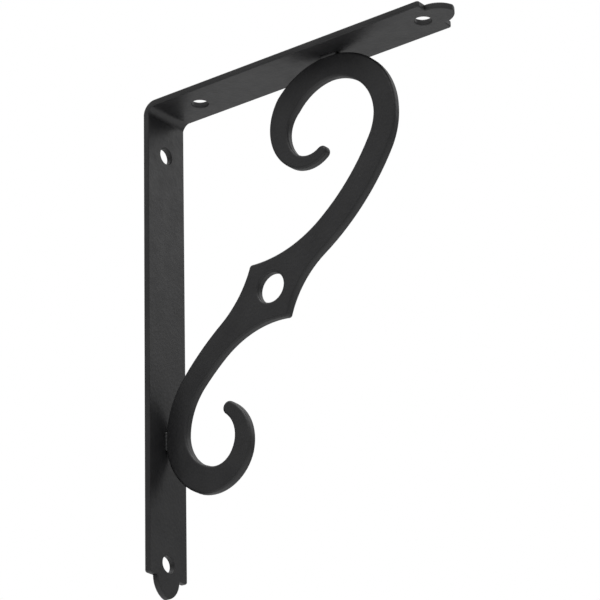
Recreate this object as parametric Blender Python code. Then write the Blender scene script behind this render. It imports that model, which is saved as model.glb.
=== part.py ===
"""Scroll shelf bracket, 199 mm down the wall and 139 mm out under the shelf.

A flat steel strip is bent once to an L. A steel plate cut to an S-shaped scroll stands on edge
along the strip's middle line and braces the two legs. X runs out from the wall, Y across the strip
and Z up. The origin lies on the back of the wall leg, midway between its two screw holes.
"""

import math

import bmesh
import bpy
from mathutils import Vector

MM = 0.001

# Strip
LEG_LENGTH = 199.0 * MM
ARM_LENGTH = 139.0 * MM
STRIP_WIDTH = 21.6 * MM
STRIP_THICKNESS = 2.5 * MM
BEND_INSIDE_RADIUS = 3.0 * MM
STRIP_EDGE_ROUND = 0.35 * MM
SHOULDER_RADIUS = 1.0 * MM

# Tongue at each end of the strip: two side arcs that meet in a small round tip
TONGUE_HALF_WIDTH = 6.4 * MM
TONGUE_SIDE_RADIUS = 8.4 * MM
TONGUE_TIP_RADIUS = 1.4 * MM

# Screw holes, on the strip's middle line
HOLE_DIAMETER = 6.4 * MM
HOLE_FROM_CORNER = 19.5 * MM
HOLE_FROM_TIP = 13.5 * MM

# Scroll plate. X is measured from the wall and Z from the top of the arm.
SCROLL_THICKNESS = 3.6 * MM
SCROLL_EDGE_ROUND = 0.9 * MM
TOUCH_GAP = 0.3 * MM
BOSS_X = 53.3 * MM
BOSS_Z = -89.4 * MM
BOSS_HOLE_DIAMETER = 11.8 * MM

# The boss's two corners: reach out from the middle of its hole, and direction in degrees
BOSS_UPPER_CORNER = (14.9 * MM, 129.5)
BOSS_LOWER_CORNER = (15.6 * MM, 299.0)

# How far from the middle of the boss each edge of a limb starts to flare out
OUTER_FLARE_REACH = 23.0 * MM
INNER_FLARE_REACH = 33.0 * MM

# The large loop is drawn from its rightmost point and the small one from its point on the leg.
LARGE_LOOP_X = 82.5 * MM
LARGE_LOOP_RADIUS = 25.0 * MM
LARGE_LOOP_HALF_WIDTH = 5.0 * MM
SMALL_LOOP_Z = -137.9 * MM
SMALL_LOOP_HALF_WIDTH = 4.9 * MM

# Arcs of the scroll's middle line: radius, turn in degrees (left is positive), half width at the end
LARGE_CURL_ARCS = (
    (LARGE_LOOP_RADIUS, 90.0, 4.8 * MM),
    (26.1 * MM, 49.5, 5.6 * MM),
    (16.9 * MM, 90.5, 2.8 * MM),
    (11.0 * MM, 76.0, 2.3 * MM),
)
UPPER_LIMB_ARCS = (
    (25.5 * MM, -29.0, 5.5 * MM),
    (87.0 * MM, -36.0, 5.7 * MM),
)
SMALL_CURL_ARCS = (
    (20.8 * MM, 68.0, 5.4 * MM),
    (13.2 * MM, 92.0, 4.3 * MM),
    (15.3 * MM, 74.5, 2.6 * MM),
)
LOWER_LIMB_ARCS = (
    (31.0 * MM, -42.0, 4.9 * MM),
    (101.0 * MM, -20.5, 5.7 * MM),
)

# How finely round shapes are drawn
CHORD_ERROR = 0.015 * MM
BEND_STEPS = 8
STRIP_ROUND_RESOLUTION = 0
SCROLL_ROUND_RESOLUTION = 1
MERGE_DISTANCE = 0.001 * MM
SMOOTH_BELOW_DEG = 35.0

BEND_OUTSIDE_RADIUS = BEND_INSIDE_RADIUS + STRIP_THICKNESS
LEG_HOLE_DEPTHS = (HOLE_FROM_CORNER, LEG_LENGTH - HOLE_FROM_TIP)
ARM_HOLE_REACHES = (HOLE_FROM_CORNER, ARM_LENGTH - HOLE_FROM_TIP)
SHELF_ABOVE_ORIGIN = sum(LEG_HOLE_DEPTHS) / 2

BLACK_COAT = (0.03, 0.03, 0.032, 1.0)


def arc_steps(radius, sweep):
    """Number of chords for an arc, so that none leaves the arc by more than CHORD_ERROR."""
    step = 2 * math.acos(1 - CHORD_ERROR / radius)
    return max(2, math.ceil(abs(sweep) / step))


def arc_points(centre, radius, start, sweep):
    """Points along an arc, both ends included. Angles are in radians."""
    steps = arc_steps(radius, sweep)
    angles = [start + sweep * step / steps for step in range(steps + 1)]
    return [(centre[0] + radius * math.cos(a), centre[1] + radius * math.sin(a)) for a in angles]


def circle_points(centre, diameter):
    """Points round a hole, the last one short of the first."""
    return arc_points(centre, diameter / 2, 0.0, 2 * math.pi)[:-1]


def plate_mesh(name, outline, holes, thickness, edge_round, round_resolution):
    """A flat plate lying on the XY plane, centred in Z, with rounded edges and holes."""
    curve = bpy.data.curves.new(name, "CURVE")
    curve.dimensions = "2D"
    curve.fill_mode = "BOTH"
    curve.extrude = thickness / 2 - edge_round
    curve.bevel_depth = edge_round
    curve.bevel_resolution = round_resolution
    curve.offset = -edge_round
    for points in (outline, *holes):
        spline = curve.splines.new("POLY")
        spline.points.add(len(points) - 1)
        for spline_point, (x, y) in zip(spline.points, points):
            spline_point.co = (x, y, 0.0, 1.0)
        spline.use_cyclic_u = True
    drawing = bpy.data.objects.new(name, curve)
    bpy.context.scene.collection.objects.link(drawing)
    depsgraph = bpy.context.evaluated_depsgraph_get()
    mesh = bpy.data.meshes.new_from_object(drawing.evaluated_get(depsgraph))
    bpy.data.objects.remove(drawing)
    bpy.data.curves.remove(curve)
    mesh.name = name
    return mesh


def add_piece(name, mesh, material):
    """Links a finished piece to the scene, drawn from the corner of the wall and the shelf."""
    piece = bpy.data.objects.new(name, mesh)
    piece.location = (0.0, 0.0, SHELF_ABOVE_ORIGIN)
    mesh.materials.clear()
    mesh.materials.append(material)
    mesh.shade_smooth()
    mesh.set_sharp_from_angle(angle=math.radians(SMOOTH_BELOW_DEG))
    bpy.context.scene.collection.objects.link(piece)
    return piece


def black_coat(name, roughness):
    """Black powder coat on steel."""
    material = bpy.data.materials.new(name)
    material.use_nodes = True
    shader = material.node_tree.nodes["Principled BSDF"]
    shader.inputs["Base Color"].default_value = BLACK_COAT
    shader.inputs["Roughness"].default_value = roughness
    shader.inputs["Metallic"].default_value = 0.0
    return material


def tongue_profile():
    """One end of the strip, from its +Y shoulder round the tongue to its -Y shoulder.

    Each point is the distance past the shoulders and the place across the strip. The tongue's
    length comes back with them.
    """
    quarter = math.pi / 2
    shoulder_centre = (-SHOULDER_RADIUS, STRIP_WIDTH / 2 - SHOULDER_RADIUS)
    shoulder = arc_points(shoulder_centre, SHOULDER_RADIUS, quarter, -quarter)
    arc_offset = TONGUE_SIDE_RADIUS - TONGUE_HALF_WIDTH
    tip_centre = math.sqrt((TONGUE_SIDE_RADIUS - TONGUE_TIP_RADIUS) ** 2 - arc_offset**2)
    meet = math.atan2(arc_offset, tip_centre)
    side = arc_points((0.0, -arc_offset), TONGUE_SIDE_RADIUS, quarter, meet - quarter)
    tip = arc_points((tip_centre, 0.0), TONGUE_TIP_RADIUS, meet, -meet)
    half_profile = shoulder + side + tip[1:]
    mirrored = [(along, -across) for along, across in reversed(half_profile[:-1])]
    return half_profile + mirrored, tip_centre + TONGUE_TIP_RADIUS


def strip_blank():
    """The strip before it is bent, as it is stamped: its outline, holes, and bend lines.

    X runs along the blank from the wall leg's tip to the arm's tip, and Y across it.
    """
    bend_start = LEG_LENGTH - BEND_OUTSIDE_RADIUS
    bend_length = (BEND_INSIDE_RADIUS + STRIP_THICKNESS / 2) * math.pi / 2
    bend_end = bend_start + bend_length
    blank_length = bend_end + ARM_LENGTH - BEND_OUTSIDE_RADIUS
    profile, tongue_length = tongue_profile()
    leg_end = [(tongue_length - along, across) for along, across in profile]
    arm_end = [(blank_length - tongue_length + along, across) for along, across in reversed(profile)]
    leg_holes = [LEG_LENGTH - depth for depth in LEG_HOLE_DEPTHS]
    arm_holes = [bend_end + reach - BEND_OUTSIDE_RADIUS for reach in ARM_HOLE_REACHES]
    holes = [circle_points((along, 0.0), HOLE_DIAMETER) for along in leg_holes + arm_holes]
    return leg_end + arm_end, holes, bend_start, bend_end


def bent_point(point, bend_start, bend_end):
    """Where a point of the flat blank lies once the strip is bent."""
    depth = point.z + STRIP_THICKNESS / 2
    if point.x <= bend_start:
        return Vector((depth, -point.y, point.x - LEG_LENGTH))
    if point.x >= bend_end:
        return Vector((BEND_OUTSIDE_RADIUS + point.x - bend_end, -point.y, -depth))
    turn = (point.x - bend_start) / (bend_end - bend_start) * math.pi / 2
    radius = BEND_OUTSIDE_RADIUS - depth
    x = BEND_OUTSIDE_RADIUS - radius * math.cos(turn)
    z = -BEND_OUTSIDE_RADIUS + radius * math.sin(turn)
    return Vector((x, -point.y, z))


def make_strip():
    """The strip: stamped flat with its holes and tongues, then bent to an L."""
    outline, holes, bend_start, bend_end = strip_blank()
    mesh = plate_mesh(
        "bent_strip", outline, holes, STRIP_THICKNESS, STRIP_EDGE_ROUND, STRIP_ROUND_RESOLUTION
    )
    blank = bmesh.new()
    blank.from_mesh(mesh)
    bmesh.ops.remove_doubles(blank, verts=blank.verts, dist=MERGE_DISTANCE)
    for step in range(BEND_STEPS + 1):
        along = bend_start + (bend_end - bend_start) * step / BEND_STEPS
        everything = blank.verts[:] + blank.edges[:] + blank.faces[:]
        bmesh.ops.bisect_plane(
            blank, geom=everything, dist=MERGE_DISTANCE, plane_co=(along, 0, 0), plane_no=(1, 0, 0)
        )
    for vert in blank.verts:
        vert.co = bent_point(vert.co, bend_start, bend_end)
    blank.to_mesh(mesh)
    blank.free()
    return add_piece("bent_strip", mesh, black_coat("strip_coat", 0.45))


def walk_arcs(start, heading, half_width, arcs):
    """Stations along a chain of tangent arcs: x, z, heading and half width of each."""
    stations = []
    x, z = start
    for radius, turn_deg, end_half_width in arcs:
        sweep = math.radians(turn_deg)
        signed_radius = math.copysign(radius, sweep)
        centre_x = x - signed_radius * math.sin(heading)
        centre_z = z + signed_radius * math.cos(heading)
        steps = arc_steps(radius, sweep)
        for step in range(steps + 1):
            share = step / steps
            angle = heading + sweep * share
            x = centre_x + signed_radius * math.sin(angle)
            z = centre_z - signed_radius * math.cos(angle)
            width = half_width + (end_half_width - half_width) * share
            if step or not stations:
                stations.append((x, z, angle, width))
        heading += sweep
        half_width = end_half_width
    return stations


def limb_stations(start, heading, half_width, curl_arcs, limb_arcs):
    """One half of the S, from the boss end of its limb to the tip of its curl."""
    curl = walk_arcs(start, heading, half_width, curl_arcs)
    towards_boss = walk_arcs(start, heading + math.pi, half_width, limb_arcs)
    limb = [(x, z, angle - math.pi, width) for x, z, angle, width in reversed(towards_boss)]
    return limb + curl[1:]


def edge_points(stations, hand, reach):
    """One edge of a limb, left (1) or right (-1), from where it is clear of the boss's flare."""
    points = [
        (x - hand * width * math.sin(angle), z + hand * width * math.cos(angle))
        for x, z, angle, width in stations
    ]
    near = [k for k, (x, z) in enumerate(points) if math.hypot(x - BOSS_X, z - BOSS_Z) < reach]
    return points[max(near) + 1 :]


def flare_points(edge, corner):
    """The arc that runs on from a limb's edge, tangent to it, to a corner of the boss.

    The points start next to the edge and end next to the corner.
    """
    (x0, z0), (x1, z1) = edge[:2]
    length = math.hypot(x1 - x0, z1 - z0)
    along_x, along_z = (x0 - x1) / length, (z0 - z1) / length
    to_x, to_z = corner[0] - x0, corner[1] - z0
    radius = (to_x**2 + to_z**2) / (2 * (along_x * to_z - along_z * to_x))
    centre = (x0 - along_z * radius, z0 + along_x * radius)
    start = math.atan2(z0 - centre[1], x0 - centre[0])
    end = math.atan2(corner[1] - centre[1], corner[0] - centre[0])
    sweep = math.remainder(end - start, 2 * math.pi)
    return arc_points(centre, abs(radius), start, sweep)[1:-1]


def curl_tip_points(station):
    """The half round end of a curl, from its right edge to its left."""
    x, z, angle, width = station
    return arc_points((x, z), width, angle - math.pi / 2, math.pi)[1:-1]


def boss_corner(reach, angle_deg):
    """A corner of the pierced boss, from its reach out from the hole and its direction."""
    angle = math.radians(angle_deg)
    return BOSS_X + reach * math.cos(angle), BOSS_Z + reach * math.sin(angle)


def scroll_outline():
    """The scroll's whole outline, anticlockwise, in X from the wall and Z from the arm's top."""
    contact = STRIP_THICKNESS + TOUCH_GAP
    large_start = (
        LARGE_LOOP_X + LARGE_LOOP_RADIUS,
        -contact - LARGE_LOOP_HALF_WIDTH - LARGE_LOOP_RADIUS,
    )
    small_start = (contact + SMALL_LOOP_HALF_WIDTH, SMALL_LOOP_Z)
    upper = limb_stations(
        large_start, math.pi / 2, LARGE_LOOP_HALF_WIDTH, LARGE_CURL_ARCS, UPPER_LIMB_ARCS
    )
    lower = limb_stations(
        small_start, -math.pi / 2, SMALL_LOOP_HALF_WIDTH, SMALL_CURL_ARCS, LOWER_LIMB_ARCS
    )
    upper_corner = boss_corner(*BOSS_UPPER_CORNER)
    lower_corner = boss_corner(*BOSS_LOWER_CORNER)
    outline = []
    for stations, first, last in (
        (upper, lower_corner, upper_corner),
        (lower, upper_corner, lower_corner),
    ):
        outer = edge_points(stations, -1, OUTER_FLARE_REACH)
        inner = edge_points(stations, 1, INNER_FLARE_REACH)
        outline.append(first)
        outline += reversed(flare_points(outer, first))
        outline += outer
        outline += curl_tip_points(stations[-1])
        outline += reversed(inner)
        outline += flare_points(inner, last)
    return outline


def make_scroll():
    """The scroll plate, standing on edge along the strip's middle line."""
    hole = circle_points((BOSS_X, BOSS_Z), BOSS_HOLE_DIAMETER)
    mesh = plate_mesh(
        "scroll_brace",
        scroll_outline(),
        [hole],
        SCROLL_THICKNESS,
        SCROLL_EDGE_ROUND,
        SCROLL_ROUND_RESOLUTION,
    )
    plate = bmesh.new()
    plate.from_mesh(mesh)
    bmesh.ops.remove_doubles(plate, verts=plate.verts, dist=MERGE_DISTANCE)
    plate.to_mesh(mesh)
    plate.free()
    scroll = add_piece("scroll_brace", mesh, black_coat("scroll_coat", 0.55))
    scroll.rotation_euler.x = math.pi / 2
    return scroll


for old_object in list(bpy.data.objects):
    bpy.data.objects.remove(old_object)
make_strip()
make_scroll()
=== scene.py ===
import math

import bmesh
import bpy
from mathutils import Euler, Matrix, Vector


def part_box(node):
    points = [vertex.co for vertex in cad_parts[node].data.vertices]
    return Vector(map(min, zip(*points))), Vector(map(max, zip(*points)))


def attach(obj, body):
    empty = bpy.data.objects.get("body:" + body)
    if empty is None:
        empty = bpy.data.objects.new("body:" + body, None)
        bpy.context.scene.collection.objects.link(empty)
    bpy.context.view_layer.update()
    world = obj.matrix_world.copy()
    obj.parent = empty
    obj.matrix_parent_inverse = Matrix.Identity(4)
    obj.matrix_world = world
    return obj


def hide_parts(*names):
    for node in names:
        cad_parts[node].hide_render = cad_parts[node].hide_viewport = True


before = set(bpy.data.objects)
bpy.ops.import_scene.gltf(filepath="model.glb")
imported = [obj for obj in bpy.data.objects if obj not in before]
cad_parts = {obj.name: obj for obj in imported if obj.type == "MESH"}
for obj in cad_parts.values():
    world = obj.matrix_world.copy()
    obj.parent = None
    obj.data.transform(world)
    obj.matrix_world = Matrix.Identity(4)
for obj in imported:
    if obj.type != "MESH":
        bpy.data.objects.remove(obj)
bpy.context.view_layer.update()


# The strip
# Flat mild steel, stamped with a tongue at each end and four screw holes. It is tumbled, which
# rounds its edges, and then bent once on a press into the wall leg and the shelf arm.
STRIP_THICKNESS = 0.0025
STRIP_EDGE_RADIUS = 0.0005
STRIP_EDGE_SEGMENTS = 4
BEND_INSIDE_RADIUS = 0.003
BEND_FACETS = 20
BEND_BULGE = 0.00015
SHOULDER_RADIUS = 0.001
TONGUE_HALF_WIDTH = 0.0064
TONGUE_SIDE_RADIUS = 0.0084
TONGUE_TIP_RADIUS = 0.0014
SCREW_HOLE_RADIUS = 0.0032
SCREW_HOLE_SIDES = 64
HOLE_FROM_CORNER = 0.0195
HOLE_FROM_TIP = 0.0135
STAMPED_CORNER = math.radians(50)
ARC_STEP = math.radians(5)
SAME_PLACE = 0.00001
SAME_PLANE = math.radians(0.1)
SQUARE_ON = 0.9999

COAT_DARKEST = (0.012, 0.012, 0.013, 1)
COAT_LIGHTEST = (0.019, 0.019, 0.020, 1)
COAT_CLOUDS_PER_METRE = 70
SHEEN_SPOTS_PER_METRE = 240
SHEEN_CHANGE = 0.08
PEEL_RIPPLES_PER_METRE = 700
STRIP_PEEL_DEPTH = 0.00007
STRIP_ROUGHEST = 0.46

strip_low, strip_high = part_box("bent_strip")
leg_length = strip_high.z - strip_low.z
arm_length = strip_high.x - strip_low.x
strip_half_width = (strip_high.y - strip_low.y) / 2
bend_outside_radius = BEND_INSIDE_RADIUS + STRIP_THICKNESS
bend_start = leg_length - bend_outside_radius
bend_length = (BEND_INSIDE_RADIUS + STRIP_THICKNESS / 2) * math.pi / 2
bend_end = bend_start + bend_length
blank_length = bend_end + arm_length - bend_outside_radius


def everything(shape):
    """All the geometry of a shape, for an operator that works on the whole of it."""
    return shape.verts[:] + shape.edges[:] + shape.faces[:]


def line_to(shape, vert, place):
    """Carries an outline on from a vertex in a straight line."""
    end = bmesh.ops.extrude_vert_indiv(shape, verts=[vert])["verts"][0]
    end.co = place
    return end


def arc_round(shape, vert, centre, turn):
    """Carries an outline on from a vertex round a centre in the XY plane."""
    steps = max(2, math.ceil(abs(turn) / ARC_STEP))
    spun = bmesh.ops.spin(
        shape, geom=[vert], cent=centre, axis=(0, 0, 1), angle=turn, steps=steps
    )
    return spun["geom_last"][0]


def thicken(shape, across, thickness, rim_radius, rim_steps):
    """Fills an outline and makes it a plate with rounded rims, which rises along a direction."""
    bmesh.ops.triangle_fill(shape, edges=shape.edges[:], normal=across)
    bmesh.ops.translate(shape, verts=shape.verts[:], vec=across * rim_radius)
    sheet = bmesh.ops.extrude_face_region(shape, geom=shape.faces[:])["geom"]
    far_side = [part for part in sheet if isinstance(part, bmesh.types.BMVert)]
    bmesh.ops.translate(shape, verts=far_side, vec=across * (thickness - 2 * rim_radius))
    bmesh.ops.recalc_face_normals(shape, faces=shape.faces[:])
    bmesh.ops.dissolve_limit(
        shape, angle_limit=SAME_PLANE, verts=shape.verts[:], edges=shape.edges[:]
    )
    for side in (across, -across):
        flats = [face for face in shape.faces if face.normal.dot(side) > SQUARE_ON]
        for step in range(rim_steps):
            before = math.pi / 2 * step / rim_steps
            after = math.pi / 2 * (step + 1) / rim_steps
            bmesh.ops.inset_region(
                shape,
                faces=flats,
                thickness=rim_radius * (math.cos(before) - math.cos(after)),
                depth=rim_radius * (math.sin(after) - math.sin(before)),
                use_boundary=True,
                use_even_offset=True,
            )


def merge_flats(shape, across, cuts):
    """Makes each flat side of a plate one face between each cut through a hole and the next."""
    for place, along in cuts:
        bmesh.ops.bisect_plane(
            shape, geom=everything(shape), dist=SAME_PLACE, plane_co=place, plane_no=along
        )
    bmesh.ops.remove_doubles(shape, verts=shape.verts[:], dist=SAME_PLACE)
    between = {}
    for face in shape.faces:
        facing = face.normal.dot(across)
        if abs(facing) > SQUARE_ON:
            middle = face.calc_center_median()
            ahead = tuple((middle - place).dot(along) > 0 for place, along in cuts)
            between.setdefault((facing > 0, ahead), []).append(face)
    for faces in between.values():
        bmesh.ops.dissolve_faces(shape, faces=faces, use_verts=False)


def finished_piece(name, shape, material):
    """Makes a shape an object, smooth across rounded edges and creased in stamped corners."""
    mesh = bpy.data.meshes.new(name)
    shape.to_mesh(mesh)
    shape.free()
    mesh.shade_smooth()
    mesh.set_sharp_from_angle(angle=STAMPED_CORNER)
    mesh.materials.append(material)
    piece = bpy.data.objects.new(name, mesh)
    bpy.context.scene.collection.objects.link(piece)
    shading = piece.modifiers.new("flat_faces_shade_flat", "WEIGHTED_NORMAL")
    shading.weight = 100
    shading.keep_sharp = True
    return piece


def black_powder_coat(name, peel_depth, roughest):
    """Satin black powder coat: slightly cloudy, and covered in the ripple called orange peel."""
    material = bpy.data.materials.new(name)
    material.use_nodes = True
    nodes = material.node_tree.nodes
    links = material.node_tree.links
    shader = nodes["Principled BSDF"]
    place = nodes.new("ShaderNodeTexCoord").outputs["Object"]

    def noise(per_metre, detail):
        texture = nodes.new("ShaderNodeTexNoise")
        texture.inputs["Scale"].default_value = per_metre
        texture.inputs["Detail"].default_value = detail
        links.new(place, texture.inputs["Vector"])
        return texture.outputs["Fac"]

    clouds = nodes.new("ShaderNodeValToRGB")
    clouds.color_ramp.elements[0].position = 0.35
    clouds.color_ramp.elements[0].color = COAT_DARKEST
    clouds.color_ramp.elements[1].position = 0.65
    clouds.color_ramp.elements[1].color = COAT_LIGHTEST
    links.new(noise(COAT_CLOUDS_PER_METRE, 3), clouds.inputs["Fac"])
    links.new(clouds.outputs["Color"], shader.inputs["Base Color"])

    sheen = nodes.new("ShaderNodeMapRange")
    sheen.inputs["From Min"].default_value = 0.3
    sheen.inputs["From Max"].default_value = 0.7
    sheen.inputs["To Min"].default_value = roughest - SHEEN_CHANGE
    sheen.inputs["To Max"].default_value = roughest
    links.new(noise(SHEEN_SPOTS_PER_METRE, 4), sheen.inputs["Value"])
    links.new(sheen.outputs["Result"], shader.inputs["Roughness"])

    peel = nodes.new("ShaderNodeBump")
    peel.inputs["Distance"].default_value = peel_depth
    links.new(noise(PEEL_RIPPLES_PER_METRE, 2), peel.inputs["Height"])
    links.new(peel.outputs["Normal"], shader.inputs["Normal"])
    return material


def strip_blank():
    """The strip before it is bent. X runs from the wall leg's tip to the arm's tip."""
    blank = bmesh.new()
    side_offset = TONGUE_SIDE_RADIUS - TONGUE_HALF_WIDTH
    tip_reach = math.sqrt((TONGUE_SIDE_RADIUS - TONGUE_TIP_RADIUS) ** 2 - side_offset**2)
    meet = math.atan2(side_offset, tip_reach)
    shoulder = blank_length - tip_reach - TONGUE_TIP_RADIUS
    quarter = math.pi / 2
    pen = blank.verts.new((blank_length / 2, strip_half_width, 0))
    pen = line_to(blank, pen, (shoulder - SHOULDER_RADIUS, strip_half_width, 0))
    shoulder_centre = (shoulder - SHOULDER_RADIUS, strip_half_width - SHOULDER_RADIUS, 0)
    pen = arc_round(blank, pen, shoulder_centre, -quarter)
    pen = line_to(blank, pen, (shoulder, TONGUE_HALF_WIDTH, 0))
    pen = arc_round(blank, pen, (shoulder, -side_offset, 0), meet - quarter)
    arc_round(blank, pen, (shoulder + tip_reach, 0, 0), -meet)
    for middle, axis in (((0, 0, 0), "Y"), ((blank_length / 2, 0, 0), "X")):
        bmesh.ops.mirror(
            blank,
            geom=everything(blank),
            matrix=Matrix.Translation(middle).inverted(),
            axis=axis,
        )
    bmesh.ops.remove_doubles(blank, verts=blank.verts[:], dist=SAME_PLACE)
    up = Vector((0, 0, 1))
    along_strip = Vector((1, 0, 0))
    cuts = []
    for along in (
        HOLE_FROM_TIP,
        leg_length - HOLE_FROM_CORNER,
        bend_end + HOLE_FROM_CORNER - bend_outside_radius,
        blank_length - HOLE_FROM_TIP,
    ):
        hole = Vector((along, 0, 0))
        bmesh.ops.create_circle(
            blank,
            segments=SCREW_HOLE_SIDES,
            radius=SCREW_HOLE_RADIUS,
            matrix=Matrix.Translation(hole),
        )
        cuts.append((hole, along_strip))
    thicken(blank, up, STRIP_THICKNESS, STRIP_EDGE_RADIUS, STRIP_EDGE_SEGMENTS)
    merge_flats(blank, up, cuts)
    return blank


def bent(place):
    """Where a place on the blank lies on the bent strip. The press squeezes the inside wider."""
    across = -place.y
    depth = place.z
    if place.x <= bend_start:
        return Vector((depth, across, strip_low.z + place.x))
    if place.x >= bend_end:
        return Vector((bend_outside_radius + place.x - bend_end, across, strip_high.z - depth))
    share = (place.x - bend_start) / bend_length
    turn = share * math.pi / 2
    radius = bend_outside_radius - depth
    bulge = BEND_BULGE * math.sin(share * math.pi) ** 2 * depth / STRIP_THICKNESS
    return Vector(
        (
            bend_outside_radius - radius * math.cos(turn),
            across * (1 + bulge / strip_half_width),
            strip_high.z - bend_outside_radius + radius * math.sin(turn),
        )
    )


strip_shape = strip_blank()
for facet in range(BEND_FACETS + 1):
    fold = bend_start + bend_length * facet / BEND_FACETS
    bmesh.ops.bisect_plane(
        strip_shape,
        geom=everything(strip_shape),
        dist=SAME_PLACE,
        plane_co=(fold, 0, 0),
        plane_no=(1, 0, 0),
    )
for vert in strip_shape.verts:
    vert.co = bent(vert.co)
strip_coat = black_powder_coat("strip_coat", STRIP_PEEL_DEPTH, STRIP_ROUGHEST)
strip = finished_piece("strip", strip_shape, strip_coat)
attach(strip, "root")
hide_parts("bent_strip")


# The scroll
# Steel plate cut to an S, with a pierced boss where its two limbs meet. It stands on edge along
# the strip's middle line, and tumbling and the coat have rounded its edges well over.
SCROLL_EDGE_RADIUS = 0.001
SCROLL_EDGE_SEGMENTS = 6
BOSS_CORNER_CUT = 0.001
BOSS_CORNER_SEGMENTS = 4
BOSS_CORNER_TURN = math.radians(30)
BOSS_HOLE_PLACE = Vector((0.0533, 0, 0.0131))
ALONG_LIMBS = Vector((0.77, 0, 0.64))
SAME_DIRECTION = math.radians(0.5)
SCROLL_PEEL_DEPTH = 0.0001
SCROLL_ROUGHEST = 0.5


def corners_of(outline):
    """The vertices where an outline turns a corner, rather than following an arc."""
    corners = []
    for vert in outline.verts:
        before, after = (edge.other_vert(vert).co - vert.co for edge in vert.link_edges)
        if before.angle(-after) > BOSS_CORNER_TURN:
            corners.append(vert)
    return corners


scroll_low, scroll_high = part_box("scroll_brace")
scroll_thickness = scroll_high.y - scroll_low.y
scroll_shape = bmesh.new()
scroll_shape.from_mesh(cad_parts["scroll_brace"].data)
bmesh.ops.remove_doubles(scroll_shape, verts=scroll_shape.verts, dist=SAME_PLACE)
bmesh.ops.bisect_plane(
    scroll_shape,
    geom=everything(scroll_shape),
    dist=SAME_PLACE,
    plane_co=(0, 0, 0),
    plane_no=(0, 1, 0),
    clear_inner=True,
    clear_outer=True,
)
bmesh.ops.dissolve_limit(
    scroll_shape,
    angle_limit=SAME_DIRECTION,
    verts=scroll_shape.verts[:],
    edges=scroll_shape.edges[:],
)
bmesh.ops.bevel(
    scroll_shape,
    geom=corners_of(scroll_shape),
    offset=BOSS_CORNER_CUT,
    segments=BOSS_CORNER_SEGMENTS,
    profile=0.5,
    affect="VERTICES",
    clamp_overlap=True,
    material=-1,
)
arm_contact = max((vert.co.copy() for vert in scroll_shape.verts), key=lambda place: place.z)
leg_contact = min((vert.co.copy() for vert in scroll_shape.verts), key=lambda place: place.x)
bmesh.ops.translate(
    scroll_shape, verts=scroll_shape.verts[:], vec=(0, -scroll_thickness / 2, 0)
)
across_wall = Vector((0, 1, 0))
thicken(
    scroll_shape, across_wall, scroll_thickness, SCROLL_EDGE_RADIUS, SCROLL_EDGE_SEGMENTS
)
merge_flats(scroll_shape, across_wall, [(BOSS_HOLE_PLACE, ALONG_LIMBS)])
scroll_coat = black_powder_coat("scroll_coat", SCROLL_PEEL_DEPTH, SCROLL_ROUGHEST)
scroll = finished_piece("scroll", scroll_shape, scroll_coat)
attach(scroll, "root")
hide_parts("scroll_brace")


# The welds
# A short fillet bead of weld metal on each side of the scroll, where it touches the arm and where
# it touches the leg. They wear the scroll's coat, so only their low, rippled shape shows.
WELD_HALF_LENGTH = 0.0038
WELD_RADIUS = 0.0009
WELD_INSIDE_FACE = 0.0006
WELD_OFF_STRIP = 0.0003
WELD_RIPPLES = 5
WELD_RIPPLE_DEPTH = 0.05
WELD_SIDES = 20
WELD_RINGS = 60


def weld_bead(shape, placed):
    """One blunt bead along X, swollen a little at each ripple, and then put in its place."""
    ball = bmesh.ops.create_uvsphere(
        shape, u_segments=WELD_SIDES, v_segments=WELD_RINGS, radius=1
    )
    bead = ball["verts"]
    for vert in bead:
        across, up, along = vert.co
        ripple = 1 + WELD_RIPPLE_DEPTH * math.cos(along * math.pi * WELD_RIPPLES)
        blunt = math.sqrt((1 + along**2) * (1 + along**4))
        swell = WELD_RADIUS * ripple * blunt
        vert.co = (along * WELD_HALF_LENGTH, across * swell, up * swell)
    bmesh.ops.transform(shape, matrix=placed, verts=bead)


weld_shape = bmesh.new()
for side in (-1, 1):
    beside = side * (scroll_thickness / 2 - WELD_INSIDE_FACE)
    past_strip = STRIP_THICKNESS + WELD_OFF_STRIP
    under_arm = Vector((arm_contact.x, beside, strip_high.z - past_strip))
    on_leg = Vector((past_strip, beside, leg_contact.z))
    weld_bead(weld_shape, Matrix.Translation(under_arm))
    weld_bead(weld_shape, Matrix.Translation(on_leg) @ Matrix.Rotation(math.pi / 2, 4, "Y"))
bmesh.ops.recalc_face_normals(weld_shape, faces=weld_shape.faces[:])
welds = finished_piece("welds", weld_shape, scroll_coat)
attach(welds, "root")


# The studio
# A pale floor far below, and a white surround that shines most from straight above. A large soft
# lamp hangs overhead, and a small one on the far side shines on the front of the wall leg.
FLOOR_Z = -1.5
FLOOR_RADIUS = 12.0
FLOOR_SIDES = 96
FLOOR_COLOUR = (0.88, 0.88, 0.88, 1)
FLOOR_ROUGHNESS = 0.9
SURROUND_LEVEL = 0.27
SURROUND_OVERHEAD = 0.95

floor_shape = bmesh.new()
bmesh.ops.create_circle(
    floor_shape,
    cap_ends=True,
    segments=FLOOR_SIDES,
    radius=FLOOR_RADIUS,
    matrix=Matrix.Translation((0, 0, FLOOR_Z)),
)
floor_mesh = bpy.data.meshes.new("studio_floor")
floor_shape.to_mesh(floor_mesh)
floor_shape.free()
floor = bpy.data.objects.new("studio_floor", floor_mesh)
bpy.context.scene.collection.objects.link(floor)
floor_paint = bpy.data.materials.new("pale_floor")
floor_paint.use_nodes = True
floor_shader = floor_paint.node_tree.nodes["Principled BSDF"]
floor_shader.inputs["Base Color"].default_value = FLOOR_COLOUR
floor_shader.inputs["Roughness"].default_value = FLOOR_ROUGHNESS
floor_mesh.materials.append(floor_paint)

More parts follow.
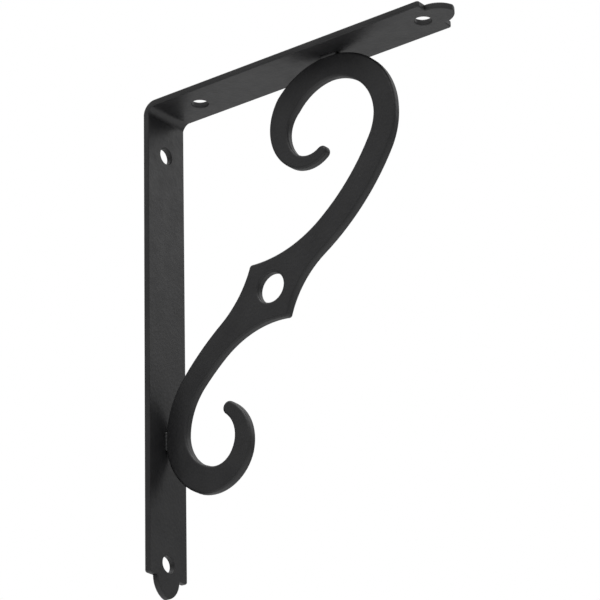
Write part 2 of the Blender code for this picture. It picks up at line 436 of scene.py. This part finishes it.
world = bpy.data.worlds.new("white_surround")
bpy.context.scene.world = world
world.use_nodes = True
sky = world.node_tree.nodes
wires = world.node_tree.links
seen = sky["Background"]
seen.inputs["Color"].default_value = (1, 1, 1, 1)
lighting = sky.new("ShaderNodeBackground")
lighting.inputs["Color"].default_value = (1, 1, 1, 1)
direction = sky.new("ShaderNodeTexCoord")
height = sky.new("ShaderNodeSeparateXYZ")
wires.new(direction.outputs["Generated"], height.inputs["Vector"])
squared = sky.new("ShaderNodeMath")
squared.operation = "MULTIPLY"
wires.new(height.outputs["Z"], squared.inputs[0])
wires.new(height.outputs["Z"], squared.inputs[1])
brightness = sky.new("ShaderNodeMapRange")
brightness.inputs["To Min"].default_value = SURROUND_LEVEL
brightness.inputs["To Max"].default_value = SURROUND_LEVEL + SURROUND_OVERHEAD
wires.new(squared.outputs["Value"], brightness.inputs["Value"])
wires.new(brightness.outputs["Result"], lighting.inputs["Strength"])
choice = sky.new("ShaderNodeMixShader")
ray = sky.new("ShaderNodeLightPath")
wires.new(ray.outputs["Is Camera Ray"], choice.inputs["Fac"])
wires.new(lighting.outputs["Background"], choice.inputs[1])
wires.new(seen.outputs["Background"], choice.inputs[2])
wires.new(choice.outputs["Shader"], sky["World Output"].inputs["Surface"])


def softbox(name, place, aim, size, power):
    """A round soft lamp. It lights the object, but no view shows it."""
    lamp = bpy.data.lights.new(name, "AREA")
    lamp.shape = "DISK"
    lamp.size = size
    lamp.energy = power
    box = bpy.data.objects.new(name, lamp)
    box.location = place
    box.rotation_euler = (Vector(place) - Vector(aim)).to_track_quat("Z", "Y").to_euler()
    box.visible_camera = False
    bpy.context.scene.collection.objects.link(box)


softbox("overhead_softbox", (0.3, -0.4, 1.9), aim=(0.3, -0.4, 0), size=1.6, power=20)
softbox("far_softbox", (0.30, 0.40, 0.36), aim=(0, 0, 0.04), size=0.30, power=0.17)
bpy.context.scene.view_settings.view_transform = "Standard"


# The camera
# It stands in front of the arm and below it, a little tilted, and looks up at the underside. It is
# far off and has a long lens, so the strip hardly narrows as it runs away.
CAMERA_AZIMUTH = math.radians(37.08)
CAMERA_ELEVATION = math.radians(-23.18)
CAMERA_ROLL = math.radians(-1.33)
CAMERA_DISTANCE = 1.2228
CAMERA_AIM = Vector((0.0657, 0, 0.0049))
CAMERA_LENS = 199.9

camera_data = bpy.data.cameras.new("camera")
camera_data.lens = CAMERA_LENS
camera = bpy.data.objects.new("camera", camera_data)
turned = Euler((math.pi / 2 - CAMERA_ELEVATION, 0, CAMERA_AZIMUTH)).to_matrix()
turned = turned @ Matrix.Rotation(CAMERA_ROLL, 3, "Z")
placed = Matrix.Translation(CAMERA_AIM) @ turned.to_4x4()
camera.matrix_world = placed @ Matrix.Translation((0, 0, CAMERA_DISTANCE))
bpy.context.scene.collection.objects.link(camera)
bpy.context.scene.camera = camera
